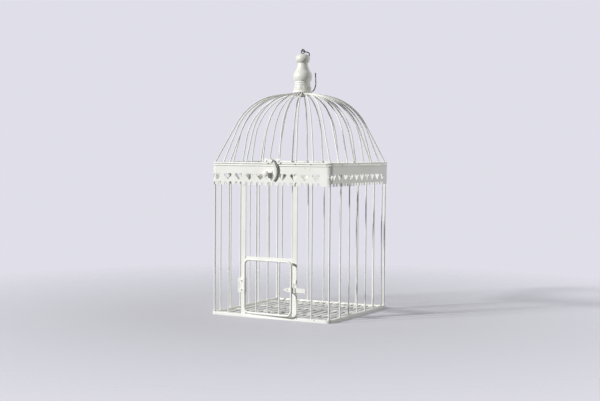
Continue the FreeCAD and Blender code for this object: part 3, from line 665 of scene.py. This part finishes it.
@dataclass
class HangingHook:
    """The steel hook: an end turned up in front of the screw eye, a waisted shank and a throat.

    Its ends are given by Y and Z, and its corners by Y, Z and the radius of the bend.
    """

    wire: float = 0.82
    ends: tuple[Pair, Pair] = ((-2.0, 359.5), (37.8, 329.35))
    corners: tuple[Spot, ...] = (
        (-2.0, 357.35, 1.8), (22.0, 356.35, 3.5), (12.2, 341.95, 8.0), (17.2, 303.35, 8.5),
        (40.3, 303.35, 13.0))

    def build(self, finishes: Finishes) -> None:
        """Bend the wire and round both ends."""
        first, last = (Vector((0.0, y, z)) * MM for y, z in self.ends)
        spots = [first, *(Vector((0.0, y, z)) * MM for y, z, _ in self.corners), last]
        wire = BentWire.start(first, spots[1] - first, self.wire * MM)
        for spot, after, (_, _, radius) in zip(spots[1:], spots[2:], self.corners):
            wire.bend(spot, after, radius * MM)
        wire.line(last)
        wire.close()
        for y, z in self.ends:
            add_bead(wire.work, (0.0, y, z), (self.wire, self.wire, self.wire), around=16, rows=10)
        piece = make_piece("bent_steel_hook", wire.work, finishes.steel, Body.HOOK)
        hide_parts("hanging_hook")


@dataclass
class FlatProfile:
    """A profile in the XZ plane, drawn on from its open end."""

    work: bmesh.types.BMesh
    tip: bmesh.types.BMVert

    @classmethod
    def start(cls, x: float, z: float, work: bmesh.types.BMesh | None = None) -> "FlatProfile":
        """Start a profile at a point, in millimetres, in a mesh of its own or a given one."""
        mesh = work or bmesh.new()
        return cls(mesh, mesh.verts.new((x * MM, 0.0, z * MM)))

    def line(self, x: float, z: float) -> None:
        """Draw a straight line on to a point, in millimetres."""
        made = bmesh.ops.extrude_vert_indiv(self.work, verts=[self.tip])
        self.tip = made["verts"][0]
        self.tip.co = (x * MM, 0.0, z * MM)

    def arc(self, x: float, z: float, radius: float, steps: int, hollow: bool = False) -> None:
        """Draw an arc on to a higher point.

        Args:
            x: The point's X, in millimetres.
            z: The point's Z, in millimetres.
            radius: The arc's radius, in millimetres.
            steps: How many edges make the arc.
            hollow: Whether the arc sinks towards the Z axis instead of swelling away from it.
        """
        side = -1.0 if hollow else 1.0
        here = self.tip.co.copy()
        there = Vector((x * MM, 0.0, z * MM))
        chord = there - here
        inward = Vector((-chord.z, 0.0, chord.x)).normalized()
        height = math.sqrt(max((radius * MM) ** 2 - (chord.length / 2) ** 2, 0.0))
        centre = (here + there) / 2 + inward * height * side
        made = bmesh.ops.spin(self.work, geom=[self.tip], cent=centre, axis=(0.0, -side, 0.0),
                              angle=(here - centre).angle(there - centre), steps=steps)
        self.tip = next(item for item in made["geom_last"] if isinstance(item, bmesh.types.BMVert))

    def turn(self, segments: int) -> bmesh.types.BMesh:
        """Turn the profile once round Z.

        Args:
            segments: How many faces go round.

        Returns:
            The closed mesh.
        """
        bmesh.ops.spin(self.work, geom=[*self.work.verts, *self.work.edges], cent=(0.0, 0.0, 0.0),
                       axis=(0.0, 0.0, 1.0), angle=math.tau, steps=segments, use_merge=True)
        bmesh.ops.remove_doubles(self.work, verts=self.work.verts, dist=0.001 * MM)
        return self.work


@dataclass
class CarvedFinial:
    """The turned finial: a foot carved with arched leaves, two beads, a belly, a neck and a ball.

    Each point of the profile is a share of the finial's radius and one of its height, and each
    curve's radius is a share of its height. On the foot, the places of the carving are shares
    of the foot's height, or of half a leaf's width, and its depths are in millimetres.
    """

    base: float = 302.6
    height: float = 50.6
    radius: float = 13.4
    bore: float = 2.1
    bore_depth: float = 15.0
    eye_bore: float = 0.85
    eye_depth: float = 9.0
    foot_edge: Pair = (0.91, 0.0)
    foot_top: Pair = (0.84, 0.146)
    foot_curve: float = 0.4
    bead_foot: Pair = (0.745, 0.154)
    bead_seam: Pair = (0.745, 0.2095)
    bead_top: Pair = (0.745, 0.265)
    bead_curve: float = 0.0297
    belly_foot: Pair = (0.858, 0.277)
    belly_top: Pair = (0.76, 0.54)
    belly_curve: float = 0.22
    neck_top: Pair = (0.505, 0.745)
    neck_curve: float = 0.9
    ball_foot: Pair = (0.515, 0.763)
    ball_top: Pair = (0.373, 1.0)
    ball_curve: float = 0.1314
    leaves: int = 8
    columns: int = 28
    carved_rise: Pair = (0.04, 0.98)
    carved_reach: float = 0.8
    leaf_depth: float = 0.4
    leaf_slope: float = 0.14
    leaf_sill: float = 0.08
    sill_slope: float = 0.06
    leaf_width: float = 0.66
    leaf_spring: float = 0.5
    leaf_top: float = 0.90
    # Share of painted shade laid into the sunk panels and grooves.
    hollow_shade_share: float = 0.45
    gap_start: float = 0.90
    gap_slope: float = 0.10
    gap_depth: float = 0.30

    def spot(self, shares: Pair) -> Pair:
        """Give a profile point from its shares of the finial's radius and height."""
        return self.radius * shares[0], self.base + self.height * shares[1]

    def turn(self) -> bmesh.types.BMesh:
        """Turn the plain form."""
        tall = self.height
        profile = FlatProfile.start(0.0, self.base + self.bore_depth)
        profile.line(self.bore, self.base + self.bore_depth)
        profile.line(self.bore, self.base)
        profile.line(*self.spot(self.foot_edge))
        profile.arc(*self.spot(self.foot_top), tall * self.foot_curve, 26)
        profile.line(*self.spot(self.bead_foot))
        profile.arc(*self.spot(self.bead_seam), tall * self.bead_curve, 10)
        profile.arc(*self.spot(self.bead_top), tall * self.bead_curve, 10)
        profile.line(*self.spot(self.belly_foot))
        profile.arc(*self.spot(self.belly_top), tall * self.belly_curve, 16)
        profile.arc(*self.spot(self.neck_top), tall * self.neck_curve, 12, hollow=True)
        profile.line(*self.spot(self.ball_foot))
        profile.arc(*self.spot(self.ball_top), tall * self.ball_curve, 18)
        profile.line(self.eye_bore, self.base + tall)
        profile.line(self.eye_bore, self.base + tall - self.eye_depth)
        profile.line(0.0, self.base + tall - self.eye_depth)
        return profile.turn(self.leaves * self.columns)

    def carve(self, work: bmesh.types.BMesh) -> None:
        """Sink an arched panel into each leaf of the foot, and a groove between leaves.

        Args:
            work: The turned form. Its points move in towards the axis, and a layer named
            hollow holds how much painted shade each one gets, more where it is sunk.
        """
        hollow = work.verts.layers.float.new("hollow")
        tall = self.height * self.foot_top[1]
        lowest, highest = self.carved_rise
        for point in work.verts:
            rise = (point.co.z / MM - self.base) / tall
            reach = math.hypot(point.co.x, point.co.y) / MM
            if not lowest < rise < highest or reach < self.radius * self.carved_reach:
                continue
            turn = math.atan2(point.co.y, point.co.x) / math.tau * self.leaves
            across = abs((turn % 1.0) * 2.0 - 1.0)
            over = max(rise - self.leaf_spring, 0.0) / (self.leaf_top - self.leaf_spring)
            edge = self.leaf_width * math.sqrt(max(1.0 - over * over, 0.0))
            sill = clamp((rise - self.leaf_sill) / self.sill_slope)
            panel = clamp((edge - across) / self.leaf_slope) * sill
            groove = clamp((across - self.gap_start) / self.gap_slope) if rise < self.leaf_top else 0.0
            sunk = self.leaf_depth * panel + self.gap_depth * groove
            point.co.xy *= 1.0 - sunk / reach
            # Painted shade: how much darker colour this point gets in the material.
            point[hollow] = self.hollow_shade_share * max(panel, groove)

    def build(self, finishes: Finishes) -> None:
        """Turn and carve the finial."""
        work = self.turn()
        self.carve(work)
        piece = make_piece("carved_finial", work, finishes.carved, Body.LID)
        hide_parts("finial")


@dataclass
class LatchClaw:
    """The lid's claw: a cast crescent, thick at its pivot and thin at its tip, and the pivot's pin.

    The crescent's outer edge runs from low to top. Its inner edge starts and ends the blunt offset
    away from them, so that both tips are blunt. Points are given by X and Z.
    """

    rear: float = -91.6
    top: Pair = (2.8, 211.6)
    low: Pair = (6.6, 181.0)
    blunt: Pair = (1.9, 1.14)
    outer_radius: float = 19.4
    inner_radius: float = 21.4
    steps: int = 24
    root_depth: float = 4.2
    tip_depth: float = 1.2
    thinning: float = 1.5
    ease: float = 0.35
    pivot: Pair = (5.7, 207.6)
    eye_radius: float = 2.3
    pin_radius: float = 1.18
    pin_rear: float = -90.4
    head_radius: float = 1.7
    head_rise: float = 0.6
    gap: float = 0.06

    def depth(self, height: float) -> float:
        """Give the crescent's depth at a height, both in millimetres."""
        share = (height - self.low[1]) / (self.top[1] - self.low[1])
        return self.tip_depth + (self.root_depth - self.tip_depth) * max(share, 0.0) ** self.thinning

    def crescent(self) -> bmesh.types.BMesh:
        """Draw both edges of the crescent, fill between them, give it depth and ease its front.

        Returns:
            The closed mesh.
        """
        outer = FlatProfile.start(*self.low)
        outer.arc(*self.top, self.outer_radius, self.steps)
        work = outer.work
        inner = FlatProfile.start(self.low[0] - self.blunt[0], self.low[1] + self.blunt[1], work)
        inner.arc(self.top[0] - self.blunt[0], self.top[1] - self.blunt[1], self.inner_radius, self.steps)
        bmesh.ops.bridge_loops(work, edges=work.edges)
        bmesh.ops.translate(work, verts=work.verts, vec=(0.0, self.rear * MM, 0.0))
        made = bmesh.ops.extrude_face_region(work, geom=work.faces)["geom"]
        front = {item for item in made if isinstance(item, bmesh.types.BMVert)}
        for point in front:
            point.co.y -= self.depth(point.co.z / MM) * MM
        rim = [edge for edge in work.edges if front.issuperset(edge.verts)
               and any(not front.issuperset(face.verts) for face in edge.link_faces)]
        bmesh.ops.bevel(work, geom=rim, offset=self.ease * MM, offset_type="OFFSET", segments=3,
                        profile=0.5, affect="EDGES", material=-1)
        return work

    def build(self, finishes: Finishes) -> None:
        """Make the crescent with its eye, and the pin that it swings on."""
        work = self.crescent()
        face = self.rear - self.depth(self.pivot[1] + self.head_radius)
        add_post(work, self.pivot, self.rear, face, self.eye_radius, self.eye_radius - self.ease)
        claw = make_piece("tapered_latch_claw", work, finishes.enamel, Body.LATCH)
        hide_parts("latch_claw")
        work = bmesh.new()
        add_post(work, self.pivot, self.pin_rear, self.rear + self.gap, self.pin_radius, self.pin_radius)
        add_post(work, self.pivot, face - self.gap, face - self.head_rise, self.head_radius,
                 self.head_radius - self.ease)
        pin = make_piece("latch_pin", work, finishes.enamel, Body.LID)
        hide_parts("latch_pivot")


@dataclass
class Studio:
    """The floor, the lights and the camera, with distances in metres and the floor's drop in millimetres.

    The camera's turn, yaw, pitch and roll are in radians, and the key lamp's softness in degrees.
    """

    camera_turn: float = 0.487413764
    camera_reach: float = 1.64204974
    camera_height: float = 0.223776182
    focal_pixels: float = 1194.20810
    image_width: float = 600.0
    sensor: float = 36.0
    yaw_offset: float = 0.0015
    pitch: float = 0.0432802207
    roll: float = -0.0078
    key_direction: Spot = (-0.58, -0.73, 0.36)
    key_level: float = 1.15
    key_softness: float = 5.0
    bright_side: Spot = (0.62, 0.78, 0.1)
    ambient_low: float = 0.05
    ambient_high: float = 1.12
    ambient_range: Pair = (0.2, 0.9)
    backdrop: str = "#E0DFE9"
    floor_colour: str = "#E2E2E9"
    floor_bounce: str = "#3C3C40"
    bounce_beneath: str = "#B6B6BA"
    beneath_start: float = 0.09
    beneath_stop: float = 0.14
    floor_radius: float = 3.0
    floor_drop: float = 0.05
    floor_roughness: float = 0.85
    fade_start: float = 0.2
    fade_stop: float = 0.7

    def place_camera(self) -> None:
        """Stand the camera where the photograph was taken from."""
        data = bpy.data.cameras.new("camera")
        data.sensor_fit = "HORIZONTAL"
        data.sensor_width = self.sensor
        data.lens = self.sensor * self.focal_pixels / self.image_width
        camera = bpy.data.objects.new("camera", data)
        bpy.context.scene.collection.objects.link(camera)
        yaw = self.camera_turn + self.yaw_offset
        ahead = Vector((-math.sin(yaw) * math.cos(self.pitch),
                        math.cos(yaw) * math.cos(self.pitch), -math.sin(self.pitch)))
        level = Vector((math.cos(yaw), math.sin(yaw), 0.0))
        down = ahead.cross(level)
        right = level * math.cos(self.roll) + down * math.sin(self.roll)
        low = down * math.cos(self.roll) - level * math.sin(self.roll)
        turn = Matrix((right, -low, -ahead)).transposed().to_4x4()
        spot = Vector((self.camera_reach * math.sin(self.camera_turn),
                       -self.camera_reach * math.cos(self.camera_turn), self.camera_height))
        camera.matrix_world = Matrix.Translation(spot) @ turn
        bpy.context.scene.camera = camera

    def hang_key(self) -> None:
        """Hang the one far lamp that gives the shadows."""
        data = bpy.data.lights.new("key_lamp", "SUN")
        data.energy = self.key_level * math.pi
        data.angle = math.radians(self.key_softness)
        lamp = bpy.data.objects.new("key_lamp", data)
        lamp.rotation_mode = "QUATERNION"
        lamp.rotation_quaternion = Vector(self.key_direction).to_track_quat("Z", "Y")
        bpy.context.scene.collection.objects.link(lamp)

    def light_world(self) -> None:
        """Fill the room with soft light, more of it from behind, and show a pale backdrop."""
        world = bpy.data.worlds.new("studio")
        world.use_nodes = True
        bpy.context.scene.world = world
        tree = world.node_tree
        tree.nodes.clear()
        path = add_node(tree, "ShaderNodeLightPath")
        seen = add_node(tree, "ShaderNodeMath", {
            0: path.outputs["Is Camera Ray"], 1: path.outputs["Is Glossy Ray"]}, operation="MAXIMUM")
        seen = add_node(tree, "ShaderNodeMath", {
            0: seen.outputs[0], 1: path.outputs["Is Transmission Ray"]}, operation="MAXIMUM")
        facing = add_node(tree, "ShaderNodeVectorMath", {
            0: add_node(tree, "ShaderNodeTexCoord").outputs["Generated"],
            1: Vector(self.bright_side).normalized()}, operation="DOT_PRODUCT")
        level = spread(tree, facing.outputs["Value"], self.ambient_low, self.ambient_high,
                       *self.ambient_range)
        soft = add_node(tree, "ShaderNodeBackground", {
            "Color": (1.0, 1.0, 1.0, 1.0), "Strength": level})
        pale = add_node(tree, "ShaderNodeBackground", {
            "Color": linear(self.backdrop), "Strength": 1.0})
        mixed = add_node(tree, "ShaderNodeMixShader", {
            0: seen.outputs[0], 1: soft.outputs[0], 2: pale.outputs[0]})
        add_node(tree, "ShaderNodeOutputWorld", {"Surface": mixed.outputs[0]})

    def lay_floor(self) -> None:
        """Lay a plain pale floor that fades out, and throws back the most light beneath the cage."""
        work = bmesh.new()
        bmesh.ops.create_circle(work, cap_ends=True, segments=96, radius=self.floor_radius)
        bmesh.ops.translate(work, verts=work.verts, vec=(0.0, 0.0, -self.floor_drop * MM))
        data = bpy.data.meshes.new("floor")
        work.to_mesh(data)
        work.free()
        floor = bpy.data.objects.new("floor", data)
        bpy.context.scene.collection.objects.link(floor)
        material = bpy.data.materials.new("matt_paper_floor")
        material.use_nodes = True
        tree = material.node_tree
        shader = tree.nodes["Principled BSDF"]
        place = add_node(tree, "ShaderNodeTexCoord").outputs["Object"]
        reach = add_node(tree, "ShaderNodeVectorMath", {0: place}, operation="LENGTH")
        beside = spread(tree, reach.outputs["Value"], 0.0, 1.0, self.beneath_start, self.beneath_stop)
        bounce = add_node(tree, "ShaderNodeMix", {
            "Factor": beside, "A": linear(self.bounce_beneath), "B": linear(self.floor_bounce)},
            data_type="RGBA")
        path = add_node(tree, "ShaderNodeLightPath")
        dim = add_node(tree, "ShaderNodeMix", {
            "Factor": path.outputs["Is Diffuse Ray"], "A": linear(self.floor_colour),
            "B": bounce.outputs["Result"]}, data_type="RGBA")
        tree.links.new(dim.outputs["Result"], shader.inputs["Base Color"])
        shader.inputs["Roughness"].default_value = self.floor_roughness
        far = spread(tree, reach.outputs["Value"], 0.0, 1.0, self.fade_start, self.fade_stop)
        clear = add_node(tree, "ShaderNodeBsdfTransparent")
        mixed = add_node(tree, "ShaderNodeMixShader", {
            0: far, 1: shader.outputs[0], 2: clear.outputs[0]})
        tree.links.new(mixed.outputs[0], tree.nodes["Material Output"].inputs["Surface"])
        data.materials.append(material)

    def set_up(self) -> None:
        """Set up everything round the object."""
        bpy.context.scene.view_settings.view_transform = "Standard"
        self.place_camera()
        self.light_world()
        self.hang_key()
        self.lay_floor()


def main() -> None:
    """Dress the cage, set up the studio and report each piece."""
    logging.basicConfig(level=logging.INFO, format="%(name)s: %(message)s")
    finishes = Finishes.make()
    finishes.dress_nodes()
    for part in (WallSolder(), DomeSolder(), DoorSolder(), RoundHeads(), DarkSpotsAndPaintedShadows(), HangingHook(),
                 CarvedFinial(), LatchClaw()):
        part.build(finishes)
    Studio().set_up()


if __name__ == "__main__":
    main()
